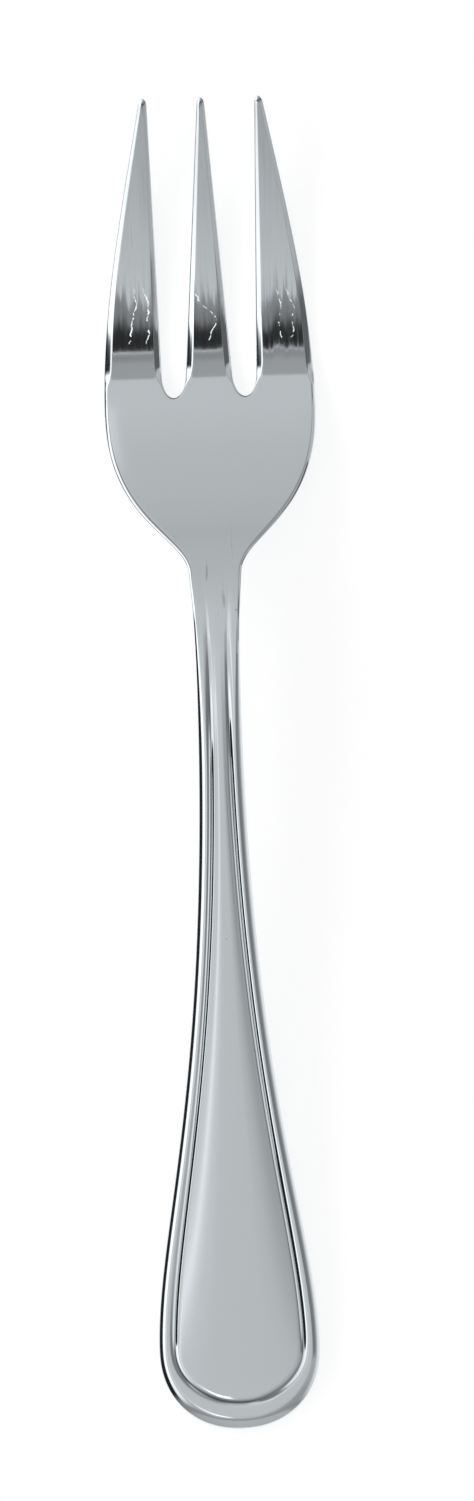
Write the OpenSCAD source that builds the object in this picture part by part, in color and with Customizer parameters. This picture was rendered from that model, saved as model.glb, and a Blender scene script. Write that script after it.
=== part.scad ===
// Serving fork with three tines, formed from one piece of polished steel.
// It lies face up on a table at z = 0, with its length along Y and the tines towards +Y.

/* [Plan] */
// Length from the tine tips to the handle end
fork_length = 230; // [215:1:245]
// Width across the head at the tine roots
head_width = 36.6; // [34:0.2:40]
// Width of the neck where it is narrowest
neck_width = 7.5; // [6.8:0.1:9]
// Greatest width of the handle
handle_width = 27.8; // [24:0.2:31]
// Distance from the handle end to its greatest width
cap_length = 14; // [11:0.5:17]
// Length of the shoulders, from the neck to the widest part of the head
shoulder_length = 28.5; // [25:0.5:32]
// Length of the straight neck behind the shoulders
neck_length = 20; // [15:1:25]

/* [Tines] */
// Length of the slots between the tines
tine_length = 51.3; // [47:0.1:55]
// Distance between the tips of the two outer tines
tip_spread = 19.8; // [18.8:0.2:21.6]
// Width of each tine at its tip
tip_width = 1.25; // [1:0.05:1.6]
// Distance between the centre lines of the slots at their roots
root_pitch = 12.4; // [11.6:0.1:13.4]
// Width of a slot above its rounded root
slot_width = 3.7; // [3.1:0.1:4.3]
// Height of the rounded root of a slot
root_height = 3.5; // [2.6:0.1:5]
// Share of the taper that the outer edges keep until near the tips
edge_fullness = 0.46; // [0.38:0.02:0.54]
// Width of the bevel along the edges of the head and tines
bevel_width = 1.2; // [0.8:0.1:1.4]

/* [Side view] */
// Height of the underside of the neck above the table
neck_rise = 15; // [10:0.5:20]
// Distance from the tine tips back to the highest part of the neck
crest_setback = 97; // [92:1:105]
// Height of the underside of the tine tips above the table
tip_rise = 12; // [8:0.5:16]
// Distance from the slot roots to the flat rest under the tines
rest_gap = 7.3; // [6.8:0.1:10]
// Length of the flat rest
rest_length = 3; // [2:0.5:5]

/* [Thickness] */
// Thickness of the handle
handle_thickness = 2.6; // [2:0.1:3.4]
// Thickness of the neck
neck_thickness = 4; // [3:0.1:5]
// Thickness of the head
head_thickness = 2.2; // [1.8:0.1:2.8]
// Thickness of the tine tips
tip_thickness = 1.3; // [1:0.1:1.8]

/* [Rim] */
// Width of the raised rim at the widest part of the handle
rim_width = 2.8; // [2.3:0.1:3.2]
// Width of the raised rim at the handle end
end_rim_width = 4.2; // [3:0.1:5]
// Width of the raised rim at the neck
neck_rim_width = 2.2; // [1.8:0.1:2.4]
// Height of the rim above the edge of the panel
rim_height = 0.35; // [0.2:0.05:0.6]
// Depth of the groove between the rim and the panel
groove_depth = 0.3; // [0.15:0.05:0.5]
// Height of the pillow-shaped panel above its edge
panel_crown = 0.45; // [0.2:0.05:0.8]
// Length over which the rim dies out into the neck
fade_length = 38; // [25:1:50]

/* [Hidden] */
steel = [0.78, 0.78, 0.8];

// Rows along the fork
cap_rows = 12;
flare_rows = 26;
neck_rows = 6;
shoulder_rows = 14;
web_rows = 3;
root_rows = 7;
shaft_rows = 9;
tip_rows = 4;

// Stations along the fork
y_tip = fork_length / 2;
y_end = -fork_length / 2;
y_root = y_tip - tine_length;
web_length = 2 * bevel_width;
y_wide = y_root - web_length;
y_throat = y_wide - shoulder_length;
y_neck = y_throat - neck_length;
y_bulge = y_end + cap_length;
y_crest = y_tip - crest_setback;
y_rest = y_root + rest_gap;
y_rise = y_rest + rest_length;
y_fade = y_throat - fade_length;
y_slim = y_bulge + (y_crest - y_bulge) / 2;
y_head = y_wide - shoulder_length / 2;

// Corners of the outline, right-hand side
throat_spread = neck_width / 10;
bulge = [handle_width / 2, y_bulge];
neck = [neck_width / 2, y_neck];
throat = [neck_width / 2 + throat_spread, y_throat];
wide = [head_width / 2, y_wide];

// Roundness of the outline between its corners
cap_power = 2 / 2.17;
flare_start = 0.185;
flare_end = 0.62;
throat_start = 0.75;
throat_end = 0.1;
shoulder_start = 0.23;
shoulder_end = 0.68;

// Tine tips
tip_round = tip_width;
tip_bevel = 0.35 * tip_width;
tip_rim = 0.3 * tip_width;

// Edges, as shares of the thickness
top_edge_share = 0.42;
bottom_edge_share = 0.33;
edge_power = 1.5;
bottom_round = 5 / 6 * bevel_width;

// Columns across the rim, as shares of its width, panel side first
rim_steps = [1.16, 1, 0.74, 0.5, 0.28, 0.1, 0];
bottom_steps = [1, 0.35, 0];
groove_step = 1;

// Lift of the side view between its stations
handle_lift = 0.3;
tine_lift = 0.47;

function mix(a, b, t) = a + (b - a) * t;

function ease(a, b, t) = mix(a, b, t * t * (3 - 2 * t));

function bezier(a, b, c, d, t) =
    a * pow(1 - t, 3) + 3 * b * t * pow(1 - t, 2) + 3 * c * t * t * (1 - t) + d * pow(t, 3);

function mirrored(p) = [-p[0], p[1], p[2]];

function reversed(list) = [for (i = [len(list) - 1:-1:0]) list[i]];

function part_of(list, first, last) = [for (i = [first:last]) list[i]];

// Side view: underside, thickness and top face
function sole(y) =
    y < y_crest
    ? bezier(0, handle_lift * neck_rise, neck_rise, neck_rise, (y - y_end) / (y_crest - y_end))
    : y < y_rest
    ? ease(neck_rise, 0, (y - y_crest) / (y_rest - y_crest))
    : y <= y_rise
    ? 0
    : bezier(0, 0, tine_lift * tip_rise, tip_rise, (y - y_rise) / (y_tip - y_rise));

function thickness(y) =
    y < y_slim
    ? handle_thickness
    : y < y_crest
    ? ease(handle_thickness, neck_thickness, (y - y_slim) / (y_crest - y_slim))
    : y < y_head
    ? ease(neck_thickness, head_thickness, (y - y_crest) / (y_head - y_crest))
    : y < y_root
    ? head_thickness
    : mix(head_thickness, tip_thickness, (y - y_root) / tine_length);

function top(y) = sole(y) + thickness(y);

function top_drop(y) = top_edge_share * thickness(y);

function bottom_lift(y) = bottom_edge_share * thickness(y);

// Plan: outline from the handle end to the widest part of the head
function cap(t) =
    [bulge[0] * pow(sin(90 * t), cap_power), y_bulge - cap_length * pow(cos(90 * t), cap_power)];

function between(a, b, start, end, t) =
    let (run = [0, b[1] - a[1]])
    bezier(a, a + start * run, b - end * run, b, t);

outline = concat(
    [for (i = [0:cap_rows - 1]) cap(i / cap_rows)],
    [for (i = [0:flare_rows - 1]) between(bulge, neck, flare_start, flare_end, i / flare_rows)],
    [for (i = [0:neck_rows - 1]) between(neck, throat, throat_start, throat_end, i / neck_rows)],
    [for (i = [0:shoulder_rows]) between(throat, wide, shoulder_start, shoulder_end, i / shoulder_rows)]);

body_rows = len(outline) - 1;

// Plan: tines, by the height h above the slot roots
function along(h) = max(0, h) / tine_length;

function outer_edge(h) =
    let (
        tip = (tip_spread + tip_width) / 2,
        t = (h + web_length) / (tine_length + web_length))
    bezier(wide[0], wide[0], mix(tip, wide[0], edge_fullness), tip, t);

function slot_centre(h) = mix(root_pitch / 2, tip_spread / 4, along(h));

function slot_flare(h) = mix(0, (tip_spread / 2 - tip_width - slot_width) / 2, along(h));

function root_curve(h, grow) =
    h < root_height ? sqrt(1 - pow((root_height - max(0, h)) / (root_height + grow), 2)) : 1;

function slot_half(h, grow) = (slot_width / 2 + grow) * root_curve(h, grow) + slot_flare(h);

function bevel(h) = mix(bevel_width, tip_bevel, along(h));

function bevel_depth(h) = h < 0 ? max(0, 1 + h / bevel_width) : 1;

// Rim: width, strength and height above the top face at a distance from the outline
function rim_at(p) =
    p[1] > y_wide
    ? mix(rim_width, tip_rim, along(p[1] - y_root))
    : p[1] < y_bulge
    ? ease(rim_width, end_rim_width, (y_bulge - p[1]) / cap_length)
    : mix(neck_rim_width, rim_width, min(1, (p[0] - neck[0]) / (bulge[0] - neck[0])));

function edge_width(p) = p[1] > y_wide ? bevel(p[1] - y_root) : bevel_width * rim_at(p) / rim_width;

function rim_strength(y) = 1 - ease(0, 1, min(1, max(0, (y - y_fade) / fade_length)));

function rim_relief(step, y) =
    rim_strength(y)
    * (step < groove_step ? rim_height * sin(180 * step) : step == groove_step ? -groove_depth : 0);

function edge_relief(distance, width, drop) = -drop * pow(max(0, 1 - distance / width), edge_power);

function panel_relief(u, y) =
    let (v = min(1, max(0, (y - y_end - rim_steps[0] * end_rim_width) / bulge[0])))
    rim_strength(y) * panel_crown * (1 - u * u) * (1 - pow(1 - v, 2));

// Heights of points on the two faces
function panel_point(x, y, panel_half) = [x, y, top(y) + panel_relief(x / panel_half, y)];

function rim_point(p, n, step) =
    let (width = rim_at(p), q = p + step * width * n, y = q[1])
    [q[0], y, top(y) + rim_relief(step, y) + edge_relief(step * width, edge_width(p), top_drop(y))];

function bottom_point(p, n, step) =
    let (width = bottom_round * bevel(p[1] - y_root) / bevel_width, q = p + step * width * n)
    [q[0], q[1], sole(q[1]) - edge_relief(step * width, width, bottom_lift(q[1]))];

// Columns from the centre line to the inner bevel line, and from the other bevel line to the rim
function inner_columns(x) = [0, x / 3, 2 * x / 3, x];

function outer_columns(x, end) = [x, mix(x, end, 1 / 3), mix(x, end, 2 / 3)];

function under_columns(split, gap) = [0, split - gap];

// Half a row of the handle and head: top face, then underside, both from the centre line outwards
function inward(i) =
    i == 0 ? [0, 1] : i >= body_rows
    ? [-1, 0]
    : let (t = outline[i + 1] - outline[i - 1]) [-t[1], t[0]] / norm(t);

function top_half(p, n) =
    let (
        q = rim_point(p, n, rim_steps[0]),
        h = p[1] - y_root,
        scale = q[0] / (wide[0] - rim_steps[0] * rim_width),
        split = scale * root_pitch / 2,
        gap = scale * slot_half(0, bevel_width),
        low = top_drop(q[1]) * bevel_depth(h))
    concat(
        [for (x = inner_columns(split - gap)) panel_point(x, q[1], q[0])],
        [panel_point(split, q[1], q[0]) - [0, 0, low]],
        [for (x = outer_columns(split + gap, q[0])) panel_point(x, q[1], q[0])],
        [for (step = rim_steps) rim_point(p, n, step)]);

function bottom_half(p, n) =
    let (
        q = bottom_point(p, n, bottom_steps[0]),
        h = p[1] - y_root,
        scale = q[0] / (wide[0] - bottom_round),
        split = scale * root_pitch / 2,
        gap = scale * slot_half(0, bottom_round),
        high = bottom_lift(q[1]) * bevel_depth(h))
    concat(
        [for (x = under_columns(split, gap)) [x, q[1], sole(q[1])]],
        [[split, q[1], sole(q[1]) + high]],
        [[split + gap, q[1], sole(q[1])]],
        [for (step = bottom_steps) bottom_point(p, n, step)]);

function body_loop(p, n) =
    let (a = top_half(p, n), b = bottom_half(p, n), a_last = len(a) - 1, b_last = len(b) - 1)
    concat(
        [for (i = [a_last:-1:1]) mirrored(a[i])],
        a,
        reversed(b),
        [for (i = [1:b_last]) mirrored(b[i])]);

// The handle end, where the two halves of the first row meet on the centre line
function end_points() = concat(
    [for (step = rim_steps) rim_point([0, y_end], [0, 1], step)],
    [for (step = bottom_steps) bottom_point([0, y_end], [0, 1], step)]);

// One row of a tine, squeezed towards its centre line and its edge level near the tip
function squeeze(points, centre, y, round) =
    [for (p = points) [mix(centre, p[0], round), y, mix(tip_level(y), p[2], round)]];

function tip_level(y) = sole(y) + mix(bottom_lift(y), thickness(y) - top_drop(y), 0.5);

function tip_factor(h) =
    let (t = (h - tine_length + tip_round) / tip_round)
    t > 0 ? sqrt(1 - t * t) : 1;

function centre_half(h) =
    let (y = y_root + h, edge = slot_centre(h) - slot_half(h, 0))
    [for (x = inner_columns(slot_centre(h) - slot_half(h, bevel(h)))) [x, y, top(y)],
     [edge, y, top(y) - top_drop(y)],
     [edge, y, sole(y) + bottom_lift(y)],
     [max(edge / 3, slot_centre(h) - slot_half(h, bottom_round * bevel(h) / bevel_width)), y, sole(y)],
     [0, y, sole(y)]];

function centre_loop(h) =
    let (half = centre_half(h), last = len(half) - 1)
    squeeze(concat([for (i = [last - 3:-1:1]) mirrored(half[i])], half,
                   [for (i = [last - 1:-1:last - 2]) mirrored(half[i])]),
            0, y_root + h, tip_factor(h));

function outer_loop(h) =
    let (
        y = y_root + h,
        p = [outer_edge(h), y],
        n = [-1, 0],
        edge = slot_centre(h) + slot_half(h, 0),
        rim = rim_point(p, n, rim_steps[0]),
        under = bottom_point(p, n, bottom_steps[0]),
        inner = slot_centre(h) + slot_half(h, bottom_round * bevel(h) / bevel_width))
    squeeze(concat(
                [[edge, y, top(y) - top_drop(y)]],
                [for (x = outer_columns(slot_centre(h) + slot_half(h, bevel(h)), rim[0])) [x, y, top(y)]],
                [for (step = rim_steps) rim_point(p, n, step)],
                [for (step = reversed(bottom_steps)) bottom_point(p, n, step)],
                [[min(inner, under[0]), y, sole(y)], [edge, y, sole(y) + bottom_lift(y)]]),
            (edge + p[0]) / 2, y, tip_factor(h));

// Heights of the tine rows above the slot roots
tine_heights = concat(
    [for (i = [1:root_rows]) root_height * (1 - cos(90 * i / root_rows))],
    [rest_gap],
    [for (i = [0:shaft_rows]) mix(rest_gap + rest_length, tine_length - tip_round, i / shaft_rows)],
    [for (i = [1:tip_rows - 1]) tine_length - tip_round * (1 - sin(90 * i / tip_rows))]);

// All rows of the body, as outline points with their inward directions
web_heights = [for (i = [1:web_rows]) web_length * (i / web_rows - 1)];
body_stations = concat(
    [for (i = [1:body_rows]) [outline[i], inward(i)]],
    [for (h = web_heights) [[outer_edge(h), y_root + h], [-1, 0]]]);

body_loops = [for (s = body_stations) body_loop(s[0], s[1])];
centre_loops = [for (h = tine_heights) centre_loop(h)];
right_loops = [for (h = tine_heights) outer_loop(h)];
left_loops = [for (loop = right_loops) reversed([for (p = loop) mirrored(p)])];

// Points of the whole fork, and the numbers of the points round each loop
slot_column = len(inner_columns(0));
slot_under = len(under_columns(0, 0));
top_count = slot_column + 1 + len(outer_columns(0, 0)) + len(rim_steps);
bottom_count = slot_under + 2 + len(bottom_steps);
loop_count = 2 * (top_count + bottom_count) - 2;
end_count = len(rim_steps) + len(bottom_steps);
row_count = len(tine_heights);
centre_count = len(centre_loops[0]);
outer_count = len(right_loops[0]);
centre_first = end_count + len(body_loops) * loop_count;
right_first = centre_first + row_count * centre_count;
left_first = right_first + row_count * outer_count;
tips_first = left_first + row_count * outer_count;

fork_points = concat(
    end_points(),
    [for (loop = body_loops) each loop],
    [for (loop = centre_loops) each loop],
    [for (loop = right_loops) each loop],
    [for (loop = left_loops) each loop],
    [for (side = [0, 1, -1]) [side * tip_spread / 2, y_tip, tip_level(y_tip)]]);

function numbers(first, count) = [for (i = [0:count - 1]) first + i];

function end_top(k) = max(0, k - top_count + len(rim_steps));

function end_bottom(k) = len(rim_steps) + max(0, k - bottom_count + len(bottom_steps));

end_numbers = concat(
    [for (k = [top_count - 1:-1:1]) end_top(k)],
    [for (k = [0:top_count - 1]) end_top(k)],
    [for (k = [bottom_count - 1:-1:0]) end_bottom(k)],
    [for (k = [1:bottom_count - 1]) end_bottom(k)]);

body_numbers = concat(
    [end_numbers],
    [for (i = [0:len(body_loops) - 1]) numbers(end_count + i * loop_count, loop_count)]);

function tine_numbers(root, first, count, tip) = concat(
    [root],
    [for (i = [0:row_count - 1]) numbers(first + i * count, count)],
    [[for (i = [1:count]) tips_first + tip]]);

// The last loop of the body is shared out between the three tines at the columns of the slots
root_loop = body_numbers[len(body_numbers) - 1];
left_split = top_count - 1 - slot_column;
right_split = top_count - 1 + slot_column;
right_under = 2 * top_count - 2 + bottom_count - slot_under;
left_under = right_under + 2 * slot_under;

centre_root = concat(
    part_of(root_loop, left_split, right_split),
    part_of(root_loop, right_under, left_under));
right_root = part_of(root_loop, right_split, right_under);
left_root = concat(part_of(root_loop, left_under, loop_count - 1), part_of(root_loop, 0, left_split));

// Triangles between two loops, leaving out those that close up to a line
function whole(t) = t[0] != t[1] && t[1] != t[2] && t[2] != t[0];

function stitch(a, b) =
    [for (i = [0:len(a) - 1])
        let (j = (i + 1) % len(a))
        for (t = [[a[i], b[i], b[j]], [a[i], b[j], a[j]]])
            if (whole(t)) t];

function skin(loops) = [for (i = [1:len(loops) - 1]) each stitch(loops[i - 1], loops[i])];

module fork() {
    color(steel)
        polyhedron(
            points = fork_points,
            faces = concat(
                skin(body_numbers),
                skin(tine_numbers(centre_root, centre_first, centre_count, 0)),
                skin(tine_numbers(right_root, right_first, outer_count, 1)),
                skin(tine_numbers(left_root, left_first, outer_count, 2))));
}

fork();
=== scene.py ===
"""Serving fork in polished steel, lying face up in a white studio."""

import math

import bmesh
import bpy
from bpy.props import FloatProperty, FloatVectorProperty, PointerProperty
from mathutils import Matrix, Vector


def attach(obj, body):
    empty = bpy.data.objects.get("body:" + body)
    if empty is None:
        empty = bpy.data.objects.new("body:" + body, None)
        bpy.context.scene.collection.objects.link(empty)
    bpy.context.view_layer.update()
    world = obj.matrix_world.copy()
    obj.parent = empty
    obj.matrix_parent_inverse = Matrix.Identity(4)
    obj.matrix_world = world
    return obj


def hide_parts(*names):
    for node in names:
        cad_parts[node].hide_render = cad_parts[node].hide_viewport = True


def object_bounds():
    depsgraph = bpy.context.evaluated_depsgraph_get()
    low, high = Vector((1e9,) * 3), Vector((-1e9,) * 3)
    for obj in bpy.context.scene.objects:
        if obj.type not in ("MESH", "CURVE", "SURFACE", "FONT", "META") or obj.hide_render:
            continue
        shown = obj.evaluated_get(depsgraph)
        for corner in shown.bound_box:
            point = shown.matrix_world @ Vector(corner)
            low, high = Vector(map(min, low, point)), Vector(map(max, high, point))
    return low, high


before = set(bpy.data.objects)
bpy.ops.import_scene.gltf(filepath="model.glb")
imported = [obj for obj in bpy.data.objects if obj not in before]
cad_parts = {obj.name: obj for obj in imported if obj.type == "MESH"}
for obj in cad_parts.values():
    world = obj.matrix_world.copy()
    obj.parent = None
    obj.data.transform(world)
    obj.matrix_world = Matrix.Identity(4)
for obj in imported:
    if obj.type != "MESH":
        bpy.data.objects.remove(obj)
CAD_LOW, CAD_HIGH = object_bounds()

bl_info = {
    "name": "Serving fork",
    "version": (1, 0, 0),
    "blender": (4, 5, 0),
    "location": "View3D > Sidebar > Fork",
    "description": "Models a three-tined serving fork in polished steel and its white studio",
    "category": "Add Mesh",
}

PIECE = "serving_fork"
GROOVE = "groove"

# Rows of sections along the fork
CAP_ROWS = 16
FLARE_ROWS = 34
NECK_ROWS = 10
SHOULDER_ROWS = 20
WEB_STEPS = (3.2, 2.4, 1.8, 1.4, 1.15, 0.92, 0.7, 0.5, 0.3, 0.13, 0)
ROOT_ROWS = 9
SHAFT_ROWS = 24
TIP_ROWS = 5

# Points across the edge, outermost first, as shares of its width and depth: the rounded lip of the handle, the eased
# bevel low on the head, its rounded edge higher up, and the flat bevel of the tines
LIP_POINTS = ((0, 0.61), (0.02, 0.476), (0.2, 0.35), (0.4, 0.223), (0.6, 0.1163), (0.78, 0.0418), (0.9, 0.0096))
HEAD_LOW = ((0, 0.6), (0, 0.44), (0.15, 0.295), (0.4, 0.18), (0.65, 0.07), (1, 0.004), (1.12, 0))
HEAD_HIGH = ((0, 0.75), (0, 0.58), (0.22, 0.395), (0.45, 0.2), (0.7, 0.09), (0.9, 0.005), (1.1, 0))
BEVEL_POINTS = ((0, 1.35), (0, 1.02), (0.09, 0.91), (0.5, 0.5), (0.91, 0.09), (1, 0.02), (1.12, 0))

# Points across the rim, from the bead down to the groove and up again to the panel, as shares of width and depth
BEAD_STEPS = (0, 0.5, 1)
SLOPE_POINTS = ((0.14, 0.0254), (0.27, 0.0929), (0.42, 0.2129), (0.55, 0.3567), (0.75, 0.6598), (0.95, 0.9625))
SHOULDER_POINTS = ((0.05, 0.05), (0.1, 0.13), (0.28, 0.434), (0.46, 0.738), (0.51, 0.81), (0.75, 0.92), (1, 1))
GROOVE_FALLOFF = 6

# Points across the edge of a slot, innermost last, as shares of width and depth: rounded at the root, bevelled above
SLOT_ROUND = ((1.15, 0), (0.8, 0.05), (0.5, 0.25), (0.22, 0.6), (0, 1))
SLOT_BEVEL = ((1.15, 0), (1, 0), (0.88, 0.12), (0.12, 0.88), (0, 1))
SLOT_SPACING = (0.0006, 0.00048, 0.00036, 0.00018, 0)

# Steps across the face of a tine, and across the rounded lower edges
FACE_STEPS = 4
UNDER_STEPS = (1, 0.72, 0.48, 0.28, 0.12, 0)
UNDER_SLOT_STEPS = (1, 0.35, 0)
UNDER_FACE_POINTS = 2

# Halvings that place a point on the rounded edge of a slot, and the distance at which points are merged
HALVINGS = 30
MERGE_DISTANCE = 1e-7

# Stretches over which one form passes into the next, as where each begins and how long it is: along the fork
RIM_FADES = (-0.004, 0.042)
LIP_THINS = (0, 0.028)
LIP_TURNS = (0.026, 0.01)
EDGE_WIDENS = (0.03, 0.012)
EDGE_SLIMS = (0.042, 0.014)
EDGE_ROUNDS = (0.052, 0.008)
FALL_BEGINS = (0.046, 0.01)
FALL_ENDS = (0.06, 0.006)
STEEP_BEGINS = (0.062, 0.004)
STEEP_ENDS = (0.0735, 0.0065)
TINE_EDGE = (0.0655, 0.0025)

# The same, up from the slot roots
SLOT_WIDENS = (0.0021, 0.0022)
SLOT_FLATTENS = (0.0015, 0.0026)


def length_property(name, description, default):
    return FloatProperty(name=name, description=description, default=default, min=0.0, precision=5, unit="LENGTH")


class ForkSizes(bpy.types.PropertyGroup):
    """Sizes of the fork that a user would change."""

    fork_length: length_property("Length", "From the tine tips to the handle end", CAD_HIGH.y - CAD_LOW.y)
    head_width: length_property("Head width", "Width across the tine roots", CAD_HIGH.x - CAD_LOW.x)
    neck_width: length_property("Neck width", "Width of the neck where it is narrowest", 0.0075)
    handle_width: length_property("Handle width", "Greatest width of the handle", 0.0278)
    tine_length: length_property("Tine length", "Length of the slots between the tines", 0.0513)
    tip_spread: length_property("Tip spread", "Distance between the tips of the outer tines", 0.0198)
    bevel_width: length_property("Bevel width", "Width of the bevel along the tines at their roots", 0.0013)
    neck_rise: length_property("Neck rise", "Height of the underside of the neck above the table", 0.015)
    tip_rise: length_property("Tip rise", "Height of the underside of the tips above the table", 0.012)
    rim_width: length_property(
        "Rim width", "Distance from the handle's edge to the groove at its widest part", 0.0028)
    bead_height: length_property(
        "Bead height", "Height of the bead round the handle above the edge of the panel", 0.00013)
    groove_depth: length_property(
        "Groove depth", "Depth of the groove below the edge of the panel", 0.00035)


class SteelFinish(bpy.types.PropertyGroup):
    """Finish of the steel."""

    colour: FloatVectorProperty(
        name="Steel colour", description="Colour of the polished steel", subtype="COLOR", size=3, min=0.0, max=1.0,
        default=(0.735, 0.78, 0.81))
    roughness: FloatProperty(
        name="Polish", description="Roughness of the polished faces", subtype="FACTOR", min=0.0, max=1.0,
        default=0.07)
    streaks: FloatProperty(
        name="Streaks", description="Roughness that the polishing streaks add along the tines", subtype="FACTOR",
        min=0.0, max=1.0, default=0.1)


class StudioLook(bpy.types.PropertyGroup):
    """Floor, light and camera."""

    floor_colour: FloatVectorProperty(
        name="Floor colour", description="Colour of the table", subtype="COLOR", size=3, min=0.0, max=1.0,
        default=(0.6, 0.6, 0.6))
    light: FloatProperty(
        name="Studio light", description="Strength of the light tent", min=0.0, default=1.0)
    camera_height: length_property("Camera height", "Height of the camera above the table", 2.0)


def mix(a, b, t):
    return a + (b - a) * t


def ease(a, b, t):
    t = min(1.0, max(0.0, t))
    return mix(a, b, t * t * (3 - 2 * t))


def passed(y, stretch):
    """Share of a stretch that lies behind a place, eased at both ends."""
    start, run = stretch
    return ease(0, 1, (y - start) / run)


def bezier(a, b, c, d, t):
    return a * (1 - t) ** 3 + 3 * b * t * (1 - t) ** 2 + 3 * c * t * t * (1 - t) + d * t**3


class ForkForm:
    """The curves of the fork that follow from its sizes."""

    def __init__(self, sizes):
        self.half_length = sizes.fork_length / 2
        self.head = sizes.head_width / 2
        self.neck = sizes.neck_width / 2
        self.handle = sizes.handle_width / 2
        self.tine_length = sizes.tine_length
        self.tip_spread = sizes.tip_spread
        self.bevel_root = sizes.bevel_width
        self.neck_rise = sizes.neck_rise
        self.tip_rise = sizes.tip_rise
        self.rim_width = sizes.rim_width
        self.bead_height = sizes.bead_height
        self.groove_depth = sizes.groove_depth

        # Neck's upper end, thicknesses, and the pulls of the curves in side view and plan
        self.throat = 1.2 * self.neck
        self.handle_thick = 0.0026
        self.neck_thick = 0.004
        self.head_thick = 0.0022
        self.tip_thick = 0.0013
        self.handle_sweep = 0.3
        self.tine_sweep = 0.47
        self.outer_sweep = 0.46
        self.end_roundness = 2.17

        # Rim at the neck and end, tips and slots
        self.neck_rim = 0.0022
        self.end_rim = 0.0047
        self.tip_width = 0.00125
        self.tip_rim = 0.3 * self.tip_width
        self.tip_bevel = 0.0005
        self.slot_width = 0.0037
        self.root_height = 0.0035
        self.root_pitch = 0.0124

        # Groove, lip, and the rounded edges
        self.slope_width = 0.001
        self.shoulder_width = 0.00091
        self.lip = 0.00132
        self.end_lip = 0.0021
        self.neck_lip = 0.0005
        self.head_bevel = 0.00085
        self.root_round = 0.00042
        self.under_round = 0.001
        self.under_tip = 0.4
        self.under_rise = 0.85
        self.slot_rise = 0.75
        self.web_run = 0.0013

        # Bevels, and the fall of the head's face towards its edge
        self.least_bevel = 0.0004
        self.head_slim = 0.8
        self.root_slope = 0.32
        self.flat_slope = 0.4
        self.steep_slope = 0.56
        self.fall_width = 0.0037
        self.fall_rate = 8.8

        # How the groove, panel and rim change along the handle
        self.least_step = 0.00008
        self.lip_clearance = 1.02
        self.shallow_run = 0.003
        self.shallow_share = 0.4
        self.panel_crown = 0.0000765
        self.panel_fade = 0.045
        self.panel_taper = 0.8
        self.panel_ease = 2.5
        self.rim_taper = 2.5
        self.rim_ease = 1.6

        # Places along the fork
        self.y_tip = self.half_length
        self.y_end = -self.half_length
        self.y_root = self.y_tip - self.tine_length
        self.y_wide = self.y_root - 0.0024
        self.y_throat = self.y_wide - 0.0285
        self.y_neck = self.y_throat - 0.02
        self.y_bulge = self.y_end + 0.014
        self.y_shallow = self.y_end + 0.0162
        self.y_crest = self.y_tip - 0.097
        self.y_bend = self.y_root + 0.0088
        self.y_slim = (self.y_bulge + self.y_crest) / 2
        self.y_head = self.y_wide - 0.01425
        self.outline = self.plan()

    # Side view
    def sole(self, y):
        if y < self.y_crest:
            t = (y - self.y_end) / (self.y_crest - self.y_end)
            return bezier(0, self.handle_sweep * self.neck_rise, self.neck_rise, self.neck_rise, t)
        if y < self.y_bend:
            return ease(self.neck_rise, 0, (y - self.y_crest) / (self.y_bend - self.y_crest))
        t = (y - self.y_bend) / (self.y_tip - self.y_bend)
        return bezier(0, 0, self.tine_sweep * self.tip_rise, self.tip_rise, t)

    def thickness(self, y):
        if y < self.y_crest:
            return ease(self.handle_thick, self.neck_thick, (y - self.y_slim) / (self.y_crest - self.y_slim))
        if y < self.y_root:
            return ease(self.neck_thick, self.head_thick, (y - self.y_crest) / (self.y_head - self.y_crest))
        return mix(self.head_thick, self.tip_thick, (y - self.y_root) / self.tine_length)

    def top(self, y):
        return self.sole(y) + self.thickness(y)

    # Plan of the handle and head, from the handle end to the widest part of the head
    def plan(self):
        power = 2 / self.end_roundness
        points = []
        for i in range(CAP_ROWS):
            a = math.pi / 2 * i / CAP_ROWS
            points.append((self.handle * math.sin(a) ** power,
                           self.y_bulge - (self.y_bulge - self.y_end) * math.cos(a) ** power))
        corners = ((self.handle, self.y_bulge), (self.neck, self.y_neck),
                   (self.throat, self.y_throat), (self.head, self.y_wide))
        pulls = ((0.185, 0.62), (0.75, 0.1), (0.23, 0.68))
        rows = (FLARE_ROWS, NECK_ROWS, SHOULDER_ROWS)
        for a, b, (start, end), count in zip(corners, corners[1:], pulls, rows):
            run = b[1] - a[1]
            for i in range(count):
                t = i / count
                points.append((bezier(a[0], a[0], b[0], b[0], t),
                               bezier(a[1], a[1] + start * run, b[1] - end * run, b[1], t)))
        points.append(corners[-1])
        return points

    def inward(self, i):
        if i == 0:
            return 0.0, 1.0
        if i == len(self.outline) - 1:
            return -1.0, 0.0
        (x0, y0), (x1, y1) = self.outline[i - 1], self.outline[i + 1]
        size = math.hypot(x1 - x0, y1 - y0)
        return -(y1 - y0) / size, (x1 - x0) / size

    # Plan of the tines, by the height above the slot roots
    def along(self, h):
        return max(0.0, h) / self.tine_length

    def outer_edge(self, h):
        web = self.y_root - self.y_wide
        tip = (self.tip_spread + self.tip_width) / 2
        t = (h + web) / (self.tine_length + web)
        return bezier(self.head, self.head, mix(tip, self.head, self.outer_sweep), tip, t)

    def slot_centre(self, h):
        return mix(self.root_pitch / 2, self.tip_spread / 4, self.along(h))

    def slot_flare(self, h):
        return (self.tip_spread / 2 - self.tip_width - self.slot_width) / 2 * self.along(h)

    def slot_half(self, h, grow):
        share = 1.0
        if h < self.root_height:
            share = math.sqrt(max(0.0, 1 - ((self.root_height - h) / (self.root_height + grow)) ** 2))
        return (self.slot_width / 2 + grow) * share + self.slot_flare(h)

    def tine_bevel(self, h):
        return mix(self.bevel_root, self.tip_bevel, self.along(h))

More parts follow.
